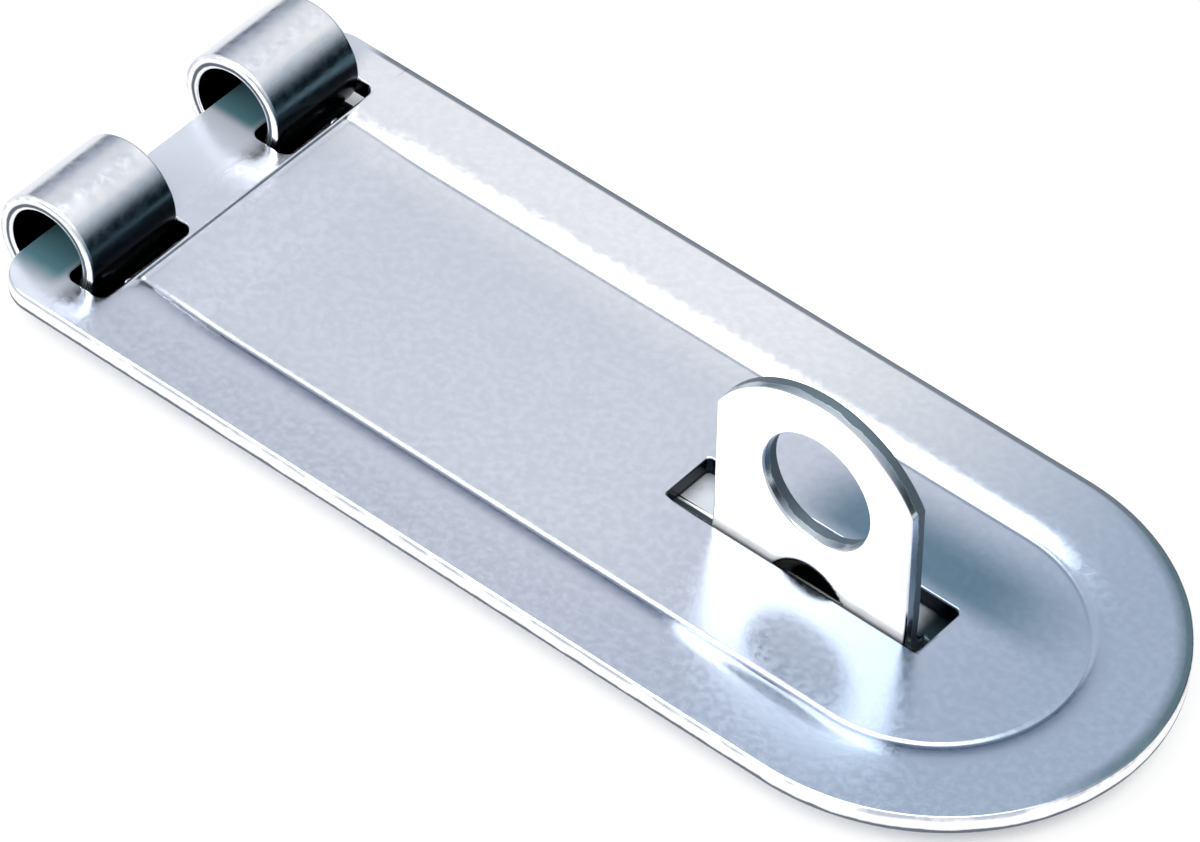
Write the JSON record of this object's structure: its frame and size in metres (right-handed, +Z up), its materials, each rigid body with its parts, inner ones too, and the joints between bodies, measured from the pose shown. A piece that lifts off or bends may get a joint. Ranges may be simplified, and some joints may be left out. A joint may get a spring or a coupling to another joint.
{
  "type": "padlock hasp",
  "caption": "Flat round-ended hasp strap on a two-knuckle hinge leaf, with a slotted sunk panel that closes over a bent-up padlock staple.",
  "frame": {"origin": "point of the mounting surface under the middle of the hinge axis", "axes": "+X along the closed strap from the hinge to its round end, +Z up from the mounting surface, +Y towards the staple's screw plate"},
  "size_m": [0.1122, 0.045, 0.0241],
  "materials": {
    "strap_zinc": "bright zinc plate, satin",
    "leaf_zinc": "bright zinc plate, satin",
    "staple_zinc": "bright zinc plate, satin"
  },
  "bodies": {
    "fixed": {"base_leaf": "leaf_zinc", "staple": "staple_zinc"},
    "strap": {"strap": "strap_zinc"}
  },
  "joints": [
    {"name": "strap_hinge", "type": "hinge", "parent": "fixed", "child": "strap", "pos_m": [0, 0, 0.00555], "axis": [0, -1, 0], "range_deg": [0, 180]}
  ]
}
